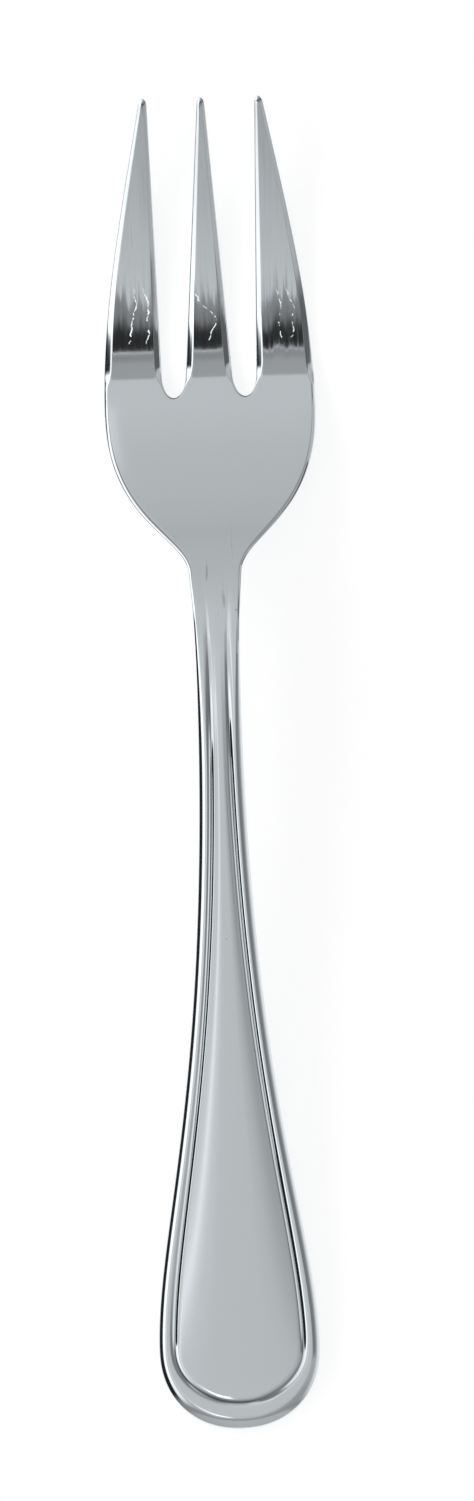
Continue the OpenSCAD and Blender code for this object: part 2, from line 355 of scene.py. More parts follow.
    def bevel(self, h):
        """Width of the bevel beside a slot, which runs out into a small round at the slot's root."""
        return mix(self.root_round, self.tine_bevel(h), passed(h, SLOT_WIDENS))

    def flatness(self, h):
        """How far the edge of a slot has turned from a rounded lip at the root to a flat bevel."""
        return passed(h, SLOT_FLATTENS)

    def bevel_slope(self, y):
        """Fall of the bevel over its width, steeper where the tines bend."""
        return mix(self.flat_slope, self.steep_slope, passed(y, STEEP_BEGINS) * (1 - passed(y, STEEP_ENDS)))

    def bevel_drop(self, h):
        return mix(self.root_slope, self.bevel_slope(self.y_root + h), self.flatness(h)) * self.bevel(h)

    def edge_bevel(self, y):
        """Width of the bevel along the outer edge of the head and tines."""
        head = mix(self.least_bevel, self.head_bevel, passed(y, EDGE_WIDENS))
        head = mix(head, self.head_slim * self.head_bevel, passed(y, EDGE_SLIMS))
        return mix(head, self.tine_bevel(y - self.y_root), passed(y, TINE_EDGE))

    def edge_fall(self, distance, y):
        """Depth by which the face of the head falls away towards its edge."""
        share = passed(y, FALL_BEGINS) * (1 - passed(y, FALL_ENDS))
        return share * self.fall_rate * max(0.0, self.fall_width - distance) ** 2

    def slot_points(self, h):
        """Shares of width and depth across the edge of a slot."""
        flat = self.flatness(h)
        return [(mix(a[0], b[0], flat), mix(a[1], b[1], flat)) for a, b in zip(SLOT_ROUND, SLOT_BEVEL)]

    def slot_depth(self, x, h):
        """Depth of the rounded edge of a slot root below the face, at a point beside the slot."""
        across = abs(x - self.slot_centre(h))
        low, high = 0.0, SLOT_ROUND[0][0]
        if self.slot_half(h, high * self.root_round) <= across:
            return 0.0
        for _ in range(HALVINGS):
            middle = (low + high) / 2
            if self.slot_half(h, middle * self.root_round) < across:
                low = middle
            else:
                high = middle
        points = self.slot_points(h)
        for (far, shallow), (near, deep) in zip(points, points[1:]):
            if low >= near:
                return self.bevel_drop(h) * mix(deep, shallow, (low - near) / (far - near))
        return self.bevel_drop(h)

    # Rim of the handle
    def rim(self, p):
        if p[1] > self.y_wide:
            return mix(self.rim_width, self.tip_rim, self.along(p[1] - self.y_root))
        if p[1] < self.y_bulge:
            return ease(self.rim_width, self.end_rim, (self.y_bulge - p[1]) / (self.y_bulge - self.y_end))
        flare = min(1.0, (p[0] - self.neck) / (self.handle - self.neck))
        return mix(self.neck_rim, self.rim_width, flare**self.rim_taper)

    def rim_scale(self, p):
        return self.rim(p) / self.rim_width if p[1] > self.y_wide else 1.0

    def rim_strength(self, y):
        return (1 - passed(y, RIM_FADES)) ** self.rim_ease

    def lip_radius(self, p):
        if p[1] < self.y_bulge:
            return ease(self.lip, self.end_lip, (self.y_bulge - p[1]) / (self.y_bulge - self.y_end))
        return mix(self.lip, self.neck_lip, passed(p[1], LIP_THINS))

    def lip_points(self, p):
        """Distances from the outline and depths below the crown of the lip, outermost first."""
        radius = self.lip_radius(p) * self.rim_scale(p)
        width = self.edge_bevel(p[1])
        drop = width * self.bevel_slope(p[1])
        flat, upper, tine = (passed(p[1], stretch) for stretch in (LIP_TURNS, EDGE_ROUNDS, TINE_EDGE))
        points = []
        for lip, low, high, bevel in zip(LIP_POINTS, HEAD_LOW, HEAD_HIGH, BEVEL_POINTS):
            across, down = (mix(a, b, upper) for a, b in zip(low, high))
            across, down = width * mix(across, bevel[0], tine), mix(width * down, drop * bevel[1], tine)
            points.append((mix(radius * lip[0], across, flat), mix(radius * lip[1], down, flat)))
        return points

    def rim_columns(self, p, n):
        """Points across the rim, from the panel to the outer edge, each with the strength of the groove there."""
        scale = self.rim_scale(p)
        width = self.rim(p)
        shoulder = self.shoulder_width * scale * scale
        lip = self.lip_points(p)
        step = self.least_step * scale
        start = max(self.lip_radius(p) * scale, self.lip_clearance * lip[-1][0])
        bead_end = max(start + step, width - self.slope_width * scale)
        width = max(width, bead_end + step)

        # The groove is shallower round the handle end
        shallow = self.shallow_share * ease(0, 1, (self.y_shallow - p[1] - width * n[1]) / self.shallow_run)
        low, high = -self.groove_depth * (1 - shallow), self.bead_height
        columns = [(distance, high - depth, 0.0) for distance, depth in lip]
        columns += [(mix(start, bead_end, t), high, 0.0) for t in BEAD_STEPS]
        columns += [(mix(bead_end, width, a), mix(high, low, b), b**GROOVE_FALLOFF) for a, b in SLOPE_POINTS]
        columns.append((width, low, 1.0))
        columns += [(width + shoulder * a, low * (1 - b), (1 - b) ** GROOVE_FALLOFF) for a, b in SHOULDER_POINTS]
        points = []
        for k, (distance, relief, groove) in enumerate(columns):
            x, y = p[0] + distance * n[0], p[1] + distance * n[1]
            strength = self.rim_strength(y)
            z = self.top(y) - self.edge_fall(distance, y)
            z += strength * high - lip[k][1] if k < len(lip) else strength * relief
            points.append(((x, y, z), strength * groove))
        return points[::-1]

    def under_radius(self, h):
        return self.under_round * mix(1, self.under_tip, self.along(h))

    def under_columns(self, p, n):
        """Points across the rounded lower edge, from the underside to the outer edge."""
        radius = self.under_radius(p[1] - self.y_root)
        points = []
        for t in UNDER_STEPS:
            x, y = p[0] + t * radius * n[0], p[1] + t * radius * n[1]
            rise = radius * self.under_rise * (1 - math.sqrt(1 - (1 - t) ** 2))
            points.append(((x, y, self.sole(y) + rise), 0.0))
        return points

    # Whole sections
    def panel_height(self, x, y, half):
        u = x / half
        fade = min(1.0, max(0.0, (y - self.y_end - self.end_rim - self.shoulder_width) / self.panel_fade))
        crown = self.panel_crown * (max(0.0, half) / 0.001) ** self.panel_taper * self.rim_strength(y)
        crown *= 1 - (1 - fade) ** self.panel_ease
        return self.top(y) + crown * (1 - u**3)

    def top_half(self, p, n):
        rim = self.rim_columns(p, n)
        half, y = rim[0][0][0], rim[0][0][1]
        h = y - self.y_root
        scale = half / (self.head - self.rim_width - self.shoulder_width)
        split = scale * self.slot_centre(0)
        reach = [self.slot_half(h, step * self.root_round) for step, _ in self.slot_points(0)]
        gaps = [scale * max(a, b) for a, b in zip(reach, SLOT_SPACING)]
        inner = [split - gap for gap in gaps]
        outer = [split + gap for gap in gaps[-2::-1]]
        xs = [inner[0] * i / FACE_STEPS for i in range(FACE_STEPS)] + inner + outer
        xs += [mix(outer[-1], half, i / FACE_STEPS) for i in range(1, FACE_STEPS)]
        points = []
        for x in xs:
            points.append(((x, y, self.panel_height(x, y, half) - self.slot_depth(x, h)), 0.0))
        return points + rim

    def bottom_half(self, p, n):
        edge = self.under_columns(p, n)
        half, y = edge[0][0][0], edge[0][0][1]
        h = y - self.y_root
        scale = half / (self.head - self.under_round)
        split = scale * self.slot_centre(0)
        gaps = [scale * self.slot_half(0, self.under_round) * step for step in UNDER_SLOT_STEPS]
        xs = [0, (split - gaps[0]) / 2] + [split - g for g in gaps] + [split + g for g in gaps[-2::-1]]
        xs.append((split + gaps[0] + half) / 2)
        lift = self.slot_rise * self.under_round * ease(0, 1, 1 + h / self.web_run)
        points = []
        for x in xs:
            share = 1 - abs(x - split) / gaps[0]
            points.append(((x, y, self.sole(y) + lift * max(0.0, share) ** 2), 0.0))
        return points + edge

    def body_loop(self, p, n):
        return whole_section(self.top_half(p, n), self.bottom_half(p, n))

    def end_loop(self):
        """The first section, where both halves lie on the centre line."""
        p, n = self.outline[0], (0.0, 1.0)
        rim, edge = self.rim_columns(p, n), self.under_columns(p, n)
        a = [rim[0]] * (self.top_count - len(rim)) + rim
        b = [edge[0]] * (self.bottom_count - len(edge)) + edge
        return whole_section(a, b)

    @property
    def top_count(self):
        return len(self.top_half(self.outline[-1], (-1.0, 0.0)))

    @property
    def bottom_count(self):
        return len(self.bottom_half(self.outline[-1], (-1.0, 0.0)))

    # Tines
    def tip_factor(self, h):
        t = (h - self.tine_length + self.tip_width) / self.tip_width
        return math.sqrt(max(0.0, 1 - t * t)) if t > 0 else 1.0

    def tip_level(self, y):
        return self.sole(y) + 0.5 * self.thickness(y)

    def squeezed(self, points, centre, y, h):
        share = self.tip_factor(h)
        level = self.tip_level(y)
        return [((mix(centre, x, share), y, mix(level, z, share)), groove) for (x, _, z), groove in points]

    def slot_columns(self, h, side):
        """Points of the bevel beside a slot, from the face to its edge; side is -1 towards the centre tine."""
        y = self.y_root + h
        return [((self.slot_centre(h) + side * self.slot_half(h, step * self.bevel(h)), y,
                  self.top(y) - self.bevel_drop(h) * depth), 0.0) for step, depth in self.slot_points(h)]

    def under_slot_columns(self, h, side, limit):
        y = self.y_root + h
        radius = self.under_radius(h)
        points = []
        for step in UNDER_SLOT_STEPS:
            x = self.slot_centre(h) + side * self.slot_half(h, step * radius)
            x = max(x, limit) if side < 0 else min(x, limit)
            points.append(((x, y, self.sole(y) + self.slot_rise * radius * (1 - step) ** 2), 0.0))
        return points

    def centre_loop(self, h):
        y = self.y_root + h
        slot = self.slot_columns(h, -1)
        inner = slot[0][0][0]
        a = [((inner * i / FACE_STEPS, y, self.top(y)), 0.0) for i in range(FACE_STEPS)] + slot
        under = self.under_slot_columns(h, -1, slot[-1][0][0] / 3)
        b = [((0, y, self.sole(y)), 0.0), ((under[0][0][0] / 2, y, self.sole(y)), 0.0)] + under
        return self.squeezed(whole_section(a, b), 0.0, y, h)

    def outer_loop(self, h):
        y = self.y_root + h
        p, n = (self.outer_edge(h), y), (-1.0, 0.0)
        rim, edge = self.rim_columns(p, n), self.under_columns(p, n)
        slot = self.slot_columns(h, 1)[::-1]
        face = [((mix(slot[-1][0][0], rim[0][0][0], i / FACE_STEPS), y, self.top(y)), 0.0)
                for i in range(1, FACE_STEPS)]
        under = self.under_slot_columns(h, 1, edge[0][0][0])
        middle = ((under[0][0][0] + edge[0][0][0]) / 2, y, self.sole(y))
        loop = slot + face + rim + edge[::-1] + [(middle, 0.0)] + under
        return self.squeezed(loop, (slot[0][0][0] + p[0]) / 2, y, h)

    def tine_heights(self):
        neck = self.tine_length - self.tip_width
        heights = [self.root_height * (1 - math.cos(math.pi / 2 * i / ROOT_ROWS)) for i in range(1, ROOT_ROWS + 1)]
        heights += [mix(self.root_height, neck, i / SHAFT_ROWS) for i in range(1, SHAFT_ROWS + 1)]
        heights += [mix(neck, self.tine_length, math.sin(math.pi / 2 * i / TIP_ROWS)) for i in range(1, TIP_ROWS + 1)]
        return heights

    def body_rows(self):
        rows = [(self.outline[i], self.inward(i)) for i in range(1, len(self.outline))]
        for step in WEB_STEPS:
            h = -step * self.root_round
            rows.append(((self.outer_edge(h), self.y_root + h), (-1.0, 0.0)))
        return [self.body_loop(p, n) for p, n in rows]


def mirrored(column):
    (x, y, z), groove = column
    return (-x, y, z), groove


def whole_section(top, bottom):
    """A closed section from its right half: over the top from left to right, and back underneath."""
    return [mirrored(c) for c in top[:0:-1]] + top + bottom[::-1] + [mirrored(c) for c in bottom[1:]]


class SectionModeller:
    """Draws a skin out from section to section, in edit mode."""

    def __init__(self, name, first):
        bpy.ops.object.select_all(action="DESELECT")
        bpy.ops.mesh.primitive_circle_add(vertices=len(first), radius=0.01)
        self.piece = bpy.context.object
        self.piece.name = self.piece.data.name = name
        bpy.ops.object.mode_set(mode="EDIT")
        bpy.ops.mesh.select_mode(type="EDGE")
        mesh = bmesh.from_edit_mesh(self.piece.data)
        mesh.verts.layers.float.new(GROOVE)
        mesh.verts.ensure_lookup_table()
        self.first = list(range(len(first)))
        for index, column in zip(self.first, first):
            self.place(mesh, mesh.verts[index], column)
        bmesh.update_edit_mesh(self.piece.data)

    def place(self, mesh, vert, column):
        vert.co = column[0]
        vert[mesh.verts.layers.float[GROOVE]] = column[1]

    def pick(self, ring):
        """Selects the edges between neighbours of a ring of points."""
        bpy.ops.mesh.select_all(action="DESELECT")
        mesh = bmesh.from_edit_mesh(self.piece.data)
        mesh.verts.ensure_lookup_table()
        for a, b in zip(ring, ring[1:] + ring[:1]):
            mesh.edges.get((mesh.verts[a], mesh.verts[b])).select_set(True)
        bmesh.update_edit_mesh(self.piece.data)

    def draw_out(self, ring, section):
        """Extrudes a ring of edges and sets the new ring on the next section."""
        self.pick(ring)
        bpy.ops.mesh.extrude_edges_move()
        mesh = bmesh.from_edit_mesh(self.piece.data)
        mesh.verts.index_update()
        place = {index: k for k, index in enumerate(ring)}
        drawn = [0] * len(ring)
        for vert in [v for v in mesh.verts if v.select]:
            source = next(e.other_vert(vert) for e in vert.link_edges if not e.other_vert(vert).select)
            k = place[source.index]
            drawn[k] = vert.index
            self.place(mesh, vert, section[k])
        bmesh.update_edit_mesh(self.piece.data)
        return drawn

    def bridge(self, a, b):
        """Joins two points by an edge."""
        bpy.ops.mesh.select_mode(type="VERT")
        bpy.ops.mesh.select_all(action="DESELECT")
        mesh = bmesh.from_edit_mesh(self.piece.data)
        mesh.verts.ensure_lookup_table()
        for index in (a, b):
            mesh.verts[index].select_set(True)
        bmesh.update_edit_mesh(self.piece.data)
        bpy.ops.mesh.edge_face_add()
        bpy.ops.mesh.select_mode(type="EDGE")

    def close(self):
        bpy.ops.mesh.select_mode(type="VERT")
        bpy.ops.mesh.select_all(action="SELECT")
        bpy.ops.mesh.remove_doubles(threshold=MERGE_DISTANCE)
        bpy.ops.mesh.select_all(action="SELECT")
        bpy.ops.mesh.normals_make_consistent(inside=False)
        bpy.ops.object.mode_set(mode="OBJECT")
        return self.piece


def model_fork(form):
    rows = form.body_rows()
    skin = SectionModeller(PIECE, rows[0])
    skin.draw_out(skin.first, form.end_loop())
    ring = skin.first
    for row in rows[1:]:
        ring = skin.draw_out(ring, row)

    # The last section of the body is shared out between the three tines at the slots
    slot_column = FACE_STEPS + len(SLOT_ROUND) - 1
    slot_under = UNDER_FACE_POINTS + len(UNDER_SLOT_STEPS) - 1
    centre = form.top_count - 1
    centre_under = 2 * form.top_count + form.bottom_count - 2
    left_top, right_top = centre - slot_column, centre + slot_column
    right_low, left_low = centre_under - slot_under, centre_under + slot_under
    skin.bridge(ring[right_top], ring[right_low])
    skin.bridge(ring[left_top], ring[left_low])
    centre_ring = ring[left_top:right_top + 1] + ring[right_low:left_low + 1]
    right_ring = ring[right_top:right_low + 1]
    left_ring = (ring[left_low:] + ring[:left_top + 1])[::-1]
    for h in form.tine_heights():
        outer = form.outer_loop(h)
        centre_ring = skin.draw_out(centre_ring, form.centre_loop(h))
        right_ring = skin.draw_out(right_ring, outer)
        left_ring = skin.draw_out(left_ring, [mirrored(c) for c in outer])
    return skin.close()


def refine(piece, levels):
    """Smooths the sections into one flowing skin."""
    bpy.ops.object.select_all(action="DESELECT")
    piece.select_set(True)
    bpy.context.view_layer.objects.active = piece
    smooth = piece.modifiers.new("Flow", "SUBSURF")
    smooth.levels = smooth.render_levels = levels
    bpy.ops.object.modifier_apply(modifier=smooth.name)
    bpy.ops.object.shade_smooth()


class NodeDesk:
    """Places nodes in a tree and wires them."""

    def __init__(self, tree):
        self.tree = tree
        tree.nodes.clear()

    def add(self, kind, *inputs, **settings):
        node = self.tree.nodes.new(kind)
        for name, value in settings.items():
            setattr(node, name, value)
        for slot, value in enumerate(inputs):
            self.feed(value, node, slot)
        return node

    def feed(self, value, node, slot):
        if value is None:
            return
        if isinstance(value, bpy.types.NodeSocket):
            self.tree.links.new(value, node.inputs[slot])
        else:
            node.inputs[slot].default_value = value

    def math(self, operation, a, b=None, c=None):
        return self.add("ShaderNodeMath", a, b, c, operation=operation).outputs[0]

    def between(self, value, low, high, start=0.0, end=1.0, step="SMOOTHSTEP"):
        """Value from low to high, eased to run from start to end."""
        node = self.add("ShaderNodeMapRange", value, low, high, start, end, interpolation_type=step)
        return node.outputs[0]

    def stretched(self, place, scale):
        """A place measured in units that differ along the three axes."""
        return self.add("ShaderNodeMapping", place, None, None, scale).outputs[0]

    def noise(self, place, scale, detail, roughness):
        return self.add("ShaderNodeTexNoise", self.stretched(place, scale), None, 1.0, detail, roughness).outputs[0]

    def swing(self, noise, amount):
        """Noise as a swing to either side."""
        return self.math("MULTIPLY", self.math("SUBTRACT", noise, 0.5), amount)

    def within(self, value, begins, ends):
        """Mask of a stretch that fades in and out."""
        return self.math("MULTIPLY", self.between(value, *begins), self.between(value, *ends, 1.0, 0.0))

    def scattered(self, place, scale, size, strength, least):
        """Small marks scattered over a surface, of which only those with a high enough draw are kept."""
        cells = self.add("ShaderNodeTexVoronoi", self.stretched(place, scale), None, 1.0)
        mark = self.between(cells.outputs["Distance"], *size, strength, 0.0)
        draw = self.add("ShaderNodeSeparateColor", cells.outputs["Color"]).outputs[0]
        return self.math("MULTIPLY", mark, self.math("GREATER_THAN", draw, least))

    def blend(self, share, first, second):
        """One colour passing into another."""
        node = self.add("ShaderNodeMix", data_type="RGBA")
        sockets = [s for s in node.inputs if s.type == "RGBA"]
        sockets[0].default_value, sockets[1].default_value = first, second
        self.feed(share, node, 0)
        return next(s for s in node.outputs if s.type == "RGBA")

    def ramp(self, value, stops):
        """Brightness read off a list of places and levels."""
        node = self.add("ShaderNodeValToRGB", value)
        elements = node.color_ramp.elements
        elements[0].position, elements[1].position = stops[0][0], stops[-1][0]
        for place, _ in stops[1:-1]:
            elements.new(place)
        for element, (_, level) in zip(elements, stops):
            element.color = (level, level, level, 1.0)
        return node.outputs[0]


# Places along the fork where the marks of its finish, and the painted shade in the groove, begin or end: from the
# first trace to the full mark, or back
STREAKS_BEGIN = (0.069, 0.079)
STREAKS_LEAN = (0.082, 0.098)
SCRATCHES_BEGIN = (0.0728, 0.0736)
SCRATCHES_END = (0.081, 0.0835)
NICKS_BEGIN = (0.08, 0.084)
FLECKS_BEGIN = (0.022, 0.028)
FLECKS_END = (0.036, 0.042)
RUN_OUT_BEGINS = (-0.02, 0.004)
RUN_OUT_ENDS = (0.008, 0.016)
HANDLE_END = (-0.106, -0.095)

# Places across the fork: the worn tine, the left and right of the handle end where the groove's painted shade
# changes, and the edge of the flecks at the neck
WORN_TINE = (0.007, 0.0085)
END_LEFT = (-0.009, -0.003)
END_RIGHT = (0.001, 0.007)
FLECKS_EDGE = (0.0026, 0.0034)

# Courses of the scratches over the bends of the tines: shares of the way up, and millimetres from the centre line
SCRATCH_CLIMB = (0.073, 0.083)
SCRATCH_REACH = 20
SCRATCH_WOBBLE = 0.0011
SCRATCH_WIDTH = (0.00004, 0.0002)
SCRATCHES = (
    ((0.0, -10.6), (0.25, -10.1), (0.4, -10.5), (0.65, -10.0), (1.0, -11.0)),
    ((0.0, 0.2), (0.1, 0.5), (0.25, 1.0), (0.38, 1.6), (0.5, 1.0), (0.75, -1.5), (1.0, -2.3)),
    ((0.0, 14.2), (0.2, 14.9), (0.4, 14.4), (0.55, 15.1), (1.0, 13.4)),
    ((0.0, -13.6), (0.45, -12.9), (0.7, -12.2), (1.0, -12.6)),
    ((0.0, 12.9), (0.3, 12.3), (0.6, 12.8), (1.0, 11.9)),
)

# Grain of the finish, as cells to the metre across, along and up, and how far each grain leans the shine
STREAK_GRAIN, STREAK_LEAN = (2400.0, 70.0, 60.0), 0.16
WAVE_GRAIN, WAVE_LEAN = (700.0, 45.0, 40.0), 0.22
WOBBLE_GRAIN = (500.0, 900.0, 0.0)
SCRATCH_GRAIN = (1500.0, 1100.0, 0.0)
NICK_CELLS = (520.0, 130.0, 0.0)
PIT_CELLS = (220.0, 220.0, 0.0)
FLECK_GRAIN = (1100.0, 110.0, 0.0)
LOW_LEAN = 0.28
CUT_LEAN = -0.42
BEVEL_SLANT = (0.08, 0.16)
WORN_SHIFT = 0.0035

# Painted shade in the groove, in place of its dark reflections, in the colour it shares with the pits and flecks: a
# line in its bottom, darker and wider at the handle end, and a thin painted shade over its sides
PITS_AND_PAINTED_SHADE_COLOUR = (0.05, 0.055, 0.06, 1.0)
LINE = 0.4
LINE_AT_END = (0.55, -0.28)
LINE_SPREAD = (-0.1, -0.55)
SIDE_SHADE_AT_END = 0.36
SIDE_SHADE_AT_NECK = 0.3
SIDE_SHADE_FALLOFF = 0.08


def steel_streaks(desk, place, x, y):
    """Polishing streaks along the tines: their strength, and how far they lean the shine up and down."""
    worn = desk.math("MULTIPLY_ADD", desk.between(x, *WORN_TINE), WORN_SHIFT, y)
    tines = desk.between(worn, *STREAKS_BEGIN)
    streak = desk.noise(place, STREAK_GRAIN, 3.0, 0.6)
    wave = desk.noise(place, WAVE_GRAIN, 2.0, 0.5)
    lean = desk.math("ADD", desk.swing(streak, STREAK_LEAN), desk.swing(wave, WAVE_LEAN))
    lean = desk.math("MULTIPLY", desk.math("MULTIPLY", lean, tines), desk.between(y, *STREAKS_LEAN, LOW_LEAN, 1.0))
    return desk.math("MULTIPLY", desk.between(streak, 0.35, 0.75), tines), lean


def steel_cuts(desk, place, x, y):
    """Scratches that wander over the bends of the tines, with a few nicks above them."""
    wobble = desk.swing(desk.noise(place, WOBBLE_GRAIN, 2.0, 0.6), SCRATCH_WOBBLE)
    climb = desk.between(y, *SCRATCH_CLIMB, 0.0, 1.0, "LINEAR")
    reach = SCRATCH_REACH / 1000
    scratch = 0.0
    for stops in SCRATCHES:
        shares = [(share, (across + SCRATCH_REACH) / (2 * SCRATCH_REACH)) for share, across in stops]
        course = desk.math("MULTIPLY_ADD", desk.ramp(climb, shares), 2 * reach, -reach)
        away = desk.math("ABSOLUTE", desk.math("ADD", desk.math("SUBTRACT", x, course), wobble))
        scratch = desk.math("MAXIMUM", scratch, desk.between(away, *SCRATCH_WIDTH, 1.0, 0.0))
    grain = desk.between(desk.noise(place, SCRATCH_GRAIN, 2.0, 0.6), 0.36, 0.56)
    scratch = desk.math("MULTIPLY", scratch, grain)
    scratch = desk.math("MULTIPLY", scratch, desk.within(y, SCRATCHES_BEGIN, SCRATCHES_END))
    nick = desk.scattered(place, NICK_CELLS, (0.05, 0.1), 1.0, 0.86)
    nick = desk.math("MULTIPLY", nick, desk.between(y, *NICKS_BEGIN))
    return desk.math("MAXIMUM", scratch, nick)


def groove_painted_shade(desk, x, y):
    """Painted shade in the groove, most of it round the handle end and some where the rim runs out."""
    groove = desk.add("ShaderNodeAttribute", attribute_name=GROOVE).outputs["Fac"]
    end = desk.between(y, *HANDLE_END, 1.0, 0.0)
    line = desk.math("MULTIPLY_ADD", end, desk.between(x, *END_RIGHT, *LINE_AT_END), LINE)
    spread = desk.math("MULTIPLY_ADD", end, desk.between(x, *END_LEFT, *LINE_SPREAD), 1.0)
    side_shade = desk.math("MULTIPLY", desk.math("MULTIPLY", end, desk.between(x, *END_RIGHT)), SIDE_SHADE_AT_END)
    side_shade = desk.math("MULTIPLY_ADD", desk.within(y, RUN_OUT_BEGINS, RUN_OUT_ENDS), SIDE_SHADE_AT_NECK, side_shade)
    dark = desk.math("ADD", desk.math("MULTIPLY", desk.math("POWER", groove, spread), line),
                     desk.math("MULTIPLY", desk.math("POWER", groove, SIDE_SHADE_FALLOFF), side_shade))
    return desk.math("MINIMUM", dark, 1.0)


def pits_and_flecks(desk, place, x, y):
    """A few small pits, and dark flecks along the neck."""
    pit = desk.scattered(place, PIT_CELLS, (0.03, 0.06), 0.5, 0.72)
    fleck = desk.between(desk.noise(place, FLECK_GRAIN, 2.0, 0.5), 0.6, 0.68, 0.0, 0.28)
    neck = desk.math("MULTIPLY", desk.within(y, FLECKS_BEGIN, FLECKS_END),
                     desk.between(desk.math("ABSOLUTE", x), *FLECKS_EDGE, 1.0, 0.0))
    return desk.math("MAXIMUM", pit, desk.math("MULTIPLY", fleck, neck))


def polished_steel(finish):
    material = bpy.data.materials.new("polished_steel")
    material.use_nodes = True
    desk = NodeDesk(material.node_tree)
    place = desk.add("ShaderNodeTexCoord").outputs["Object"]
    x, y, _ = desk.add("ShaderNodeSeparateXYZ", place).outputs
    streak, lean = steel_streaks(desk, place, x, y)
    rough = desk.math("MULTIPLY_ADD", streak, finish.streaks, finish.roughness)

    # Cuts lean the shine to the side, on the faces of the tines and not on their bevels
    normal = desk.add("ShaderNodeNewGeometry").outputs["Normal"]
    slant = desk.math("ABSOLUTE", desk.add("ShaderNodeSeparateXYZ", normal).outputs[0])
    cut = desk.math("MULTIPLY", steel_cuts(desk, place, x, y), desk.between(slant, *BEVEL_SLANT, CUT_LEAN, 0.0))
    tilt = desk.add("ShaderNodeCombineXYZ", cut, lean, 0.0).outputs[0]
    normal = desk.add("ShaderNodeVectorMath", normal, tilt, operation="ADD").outputs[0]
    normal = desk.add("ShaderNodeVectorMath", normal, operation="NORMALIZE").outputs[0]

    # The groove's painted shade, together with the real pits and flecks, darkens the colour of the steel
    dark = desk.math("MAXIMUM", groove_painted_shade(desk, x, y), pits_and_flecks(desk, place, x, y))
    colour = desk.blend(dark, (*finish.colour, 1.0), PITS_AND_PAINTED_SHADE_COLOUR)

    shader = desk.add("ShaderNodeBsdfPrincipled")
    shader.inputs["Metallic"].default_value = 1.0
    desk.tree.links.new(colour, shader.inputs["Base Color"])
    desk.tree.links.new(rough, shader.inputs["Roughness"])
    desk.tree.links.new(normal, shader.inputs["Normal"])
    desk.add("ShaderNodeOutputMaterial", shader.outputs[0])
    return material


class FORK_OT_model(bpy.types.Operator):
    """Model the fork and give it its finish"""

    bl_idname = "fork.model"
    bl_label = "Model the fork"

    def execute(self, context):
        form = ForkForm(context.scene.fork_sizes)
        piece = model_fork(form)
        refine(piece, 1)
        piece.data.materials.clear()
        piece.data.materials.append(polished_steel(context.scene.fork_finish))
        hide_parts("fork")
        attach(piece, "root")
        return {"FINISHED"}


# Light tent across the fork, from its left to its right, as degrees from straight up and levels: over the fork,
# towards its head, as its tines show it, and towards its end; then along the fork
ACROSS = ((-100, 0.02), (-58.5, 0.02), (-55.5, 1.45), (-42, 1.45), (-36, 1.1), (-30, 0.78), (-25, 0.72), (-17, 0.71),
          (-14, 0.85), (-11.5, 1.06), (-9, 0.85), (-6.5, 0.73), (-2.4, 0.67), (3, 0.645), (8, 0.56), (11.4, 0.5),
          (17.6, 0.41), (21, 0.3), (25, 0.235), (50, 0.235), (58.5, 0.41), (65, 0.8), (69, 1.0), (100, 1.0))
HEAD = ((-100, 0.1), (-74, 0.1), (-69, 1.45), (-41, 1.45), (-37, 1.1), (-32, 0.34), (-18, 0.36), (-13, 0.8),
        (-10, 0.92), (-6, 0.8), (-3, 0.68), (0, 0.655), (4, 0.65), (10, 0.62), (15, 0.4), (24, 0.33), (30, 0.42),
        (38, 0.58), (50, 0.62), (60, 0.6), (72, 0.45), (100, 0.45))
TINES = ACROSS[:14] + ((12, 0.6), (25, 0.52), (58.5, 0.52), (65, 0.8), (69, 1.0), (100, 1.0))
END = ((-100, 0.5), (-60, 0.56), (-30, 0.62), (0, 0.655), (30, 0.64), (60, 0.62), (100, 0.7))
ALONG = ((-90, 0.8), (-60, 0.83), (-56, 0.6), (-52, 0.5), (-48, 0.64), (-40, 0.74), (-30, 0.86), (-18, 0.96),
         (0, 1.03), (9, 1.02), (20, 0.98), (32, 0.98), (38, 0.94), (44.5, 0.89), (51, 0.84), (54, 0.5), (58, 0.25),
         (75, 0.25), (85, 0.8), (90, 1.0))
TENT_REACH = 100
PEAK = 1.5

# Degrees along the fork between which one part of the tent passes into the next
TENT_PARTS = ((HEAD, 17, 22), (TINES, -17, -22), (END, -40, -52))

# Cards that only the shine shows: the place and height of the low and of the high edge, the sides, the heights
# between which the card is shaded, and its levels there
CARDS = {
    "dark_card": ((0.0664, 0.0706), (0.0876, 0.1437), (-0.06, 0.06), (0.079, 0.093), (0.25, 0.02)),
    "grey_card": ((0.0829, 0.0893), (0.1544, 0.250), (-0.06, 0.06), (0.1, 0.122), (0.3, 0.4)),
    "side_card": ((0.025, 0.08), (0.067, 0.08), (0.065, 0.106), (0.0, 0.1), (0.52, 0.52)),
    "side_flag": ((0.062, 0.15), (0.16, 0.15), (0.14, 0.29), (0.0, 0.2), (0.13, 0.13)),
    "glint_card": ((-0.205, 0.15), (-0.168, 0.15), (-0.022, -0.0056), (0.0, 0.2), (1.4, 1.4)),
}
HIDDEN_FROM = ("camera", "diffuse", "transmission", "volume_scatter", "shadow")
WHITE = (1, 1, 1, 1)
TABLE_SIZE = 8
TABLE_GLOW = 0.66

# Camera: its place over the fork, the turn that leans the fork, and half the length that it sees at the fork's level
CAMERA_SPOT = (0.0028, 0.0024)
CAMERA_TURN = -math.atan(0.0314)
SENSOR_WIDTH = 36
FORK_LEVEL = 0.006
HALF_VIEW = 0.1296


def tent_level(desk, angle, stops):
    """Level of the tent at an angle, as a share of its peak."""
    reach = math.radians(TENT_REACH)
    share = desk.between(angle, -reach, reach, 0.0, 1.0, "LINEAR")
    return desk.ramp(share, [((a + TENT_REACH) / (2 * TENT_REACH), level / PEAK) for a, level in stops])


